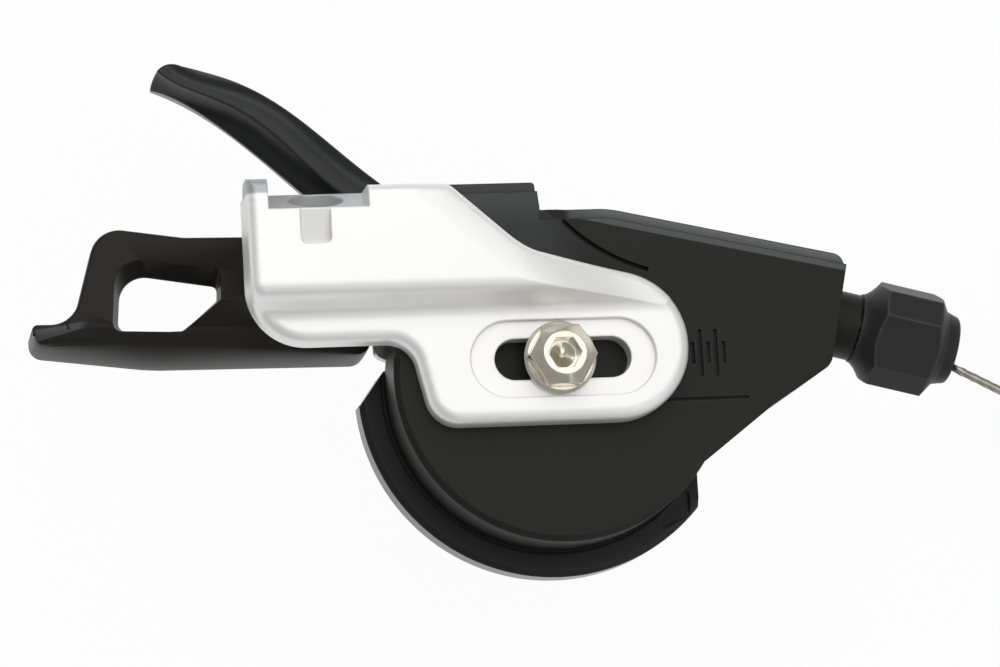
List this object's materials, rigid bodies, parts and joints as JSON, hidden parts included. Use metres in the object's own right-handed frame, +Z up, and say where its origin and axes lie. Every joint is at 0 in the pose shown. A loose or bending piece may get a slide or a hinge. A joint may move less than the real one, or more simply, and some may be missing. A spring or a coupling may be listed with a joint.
{
  "type": "trigger gear shifter",
  "caption": "Left-hand trigger gear shifter for a flat handlebar, with thumb lever, release horn, barrel adjuster, inner cable and a slotted brake-clamp bracket.",
  "frame": {"origin": "mouth of the bracket's clamp bore, on the clamp face", "axes": "+X along the handlebar towards the stem, +Y forward, +Z up out of the cover"},
  "size_m": [0.1535, 0.0712, 0.0596],
  "materials": {
    "bracket_alloy": "satin",
    "bolt_plated": "bright",
    "cover_plastic": "fine grain",
    "tub_plastic": "satin",
    "lever_plastic": "satin",
    "horn_plastic": "semi-gloss",
    "knob_plastic": "satin",
    "guide_plastic": "plain",
    "plate_steel": "plated",
    "pin_steel": "turned",
    "pawl_steel": "stamped",
    "bush_brass": "turned",
    "spring_steel": "drawn wire",
    "cable_steel": "twisted strands",
    "tie_plastic": "plain"
  },
  "bodies": {
    "bracket": {"clamp_bracket": "bracket_alloy"},
    "housing": {"upper_cover": "cover_plastic", "lower_cover": "tub_plastic", "bracket_bolt": "bolt_plated", "mount_nut": "pin_steel", "cover_screws": "pin_steel", "top_plate": "plate_steel", "base_plate": "plate_steel", "plate_posts": "pin_steel", "main_axle": "pin_steel", "axle_bush": "bush_brass", "axle_nut": "pin_steel", "drum_spring": "spring_steel", "lever_spring": "spring_steel", "hold_pawl_pin": "pin_steel", "hold_pawl_spring": "spring_steel", "release_pin": "pin_steel", "release_spring": "spring_steel", "cable_guide": "guide_plastic", "inner_cable": "cable_steel", "adjuster_stem": "pin_steel", "adjuster_spring": "spring_steel", "shift_cable": "cable_steel", "cable_coil": "cable_steel", "cable_tie": "tie_plastic"},
    "main_lever": {"main_lever": "lever_plastic", "lever_plate": "plate_steel", "lever_rivets": "pin_steel", "feed_pawl_pin": "pin_steel"},
    "drum": {"cable_drum": "pawl_steel", "cable_head": "cable_steel"},
    "hold_pawl": {"hold_pawl": "pawl_steel"},
    "feed_pawl": {"feed_pawl": "pawl_steel"},
    "release_lever": {"release_lever": "horn_plastic"},
    "adjuster": {"adjuster_knob": "knob_plastic"}
  },
  "joints": [
    {"name": "bracket_slide", "type": "slide", "parent": "bracket", "child": "housing", "axis": [1, 0, 0], "range_m": [-0.005, 0.005]},
    {"name": "main_lever_pivot", "type": "hinge", "parent": "housing", "child": "main_lever", "pos_m": [0.03275, -0.0235, -0.0194], "axis": [0, 0, -1], "range_deg": [0, 35], "stiffness_Nm_per_rad": 0.15, "springref_deg": -17.19},
    {"name": "drum_turn", "type": "hinge", "parent": "housing", "child": "drum", "pos_m": [0.03275, -0.0235, -0.0138], "axis": [0, 0, -1], "range_deg": [0, 35]},
    {"name": "hold_pawl_lift", "type": "hinge", "parent": "housing", "child": "hold_pawl", "pos_m": [0.04573, -0.03161, -0.0154], "axis": [0, 0, 1], "range_deg": [0, 16.2]},
    {"name": "feed_pawl_lift", "type": "hinge", "parent": "main_lever", "child": "feed_pawl", "pos_m": [0.02905, -0.03835, -0.0154], "axis": [0, 0, 1], "range_deg": [0, 12], "stiffness_Nm_per_rad": 0.005, "springref_deg": -11.46},
    {"name": "release_lever_pivot", "type": "hinge", "parent": "housing", "child": "release_lever", "pos_m": [0.02375, -0.0045, -0.0128], "axis": [0, 0, 1], "range_deg": [-10, 10], "stiffness_Nm_per_rad": 0.3},
    {"name": "adjuster_turn", "type": "hinge", "parent": "housing", "child": "adjuster", "pos_m": [0.07565, -0.01723, -0.0132], "axis": [0.9659, -0.2588, 0], "continuous": true}
  ],
  "couplings": [
    {"joint": "drum_turn", "follows": "main_lever_pivot", "ratio": 1},
    {"joint": "hold_pawl_lift", "follows": "main_lever_pivot", "ratio": 0.457}
  ]
}
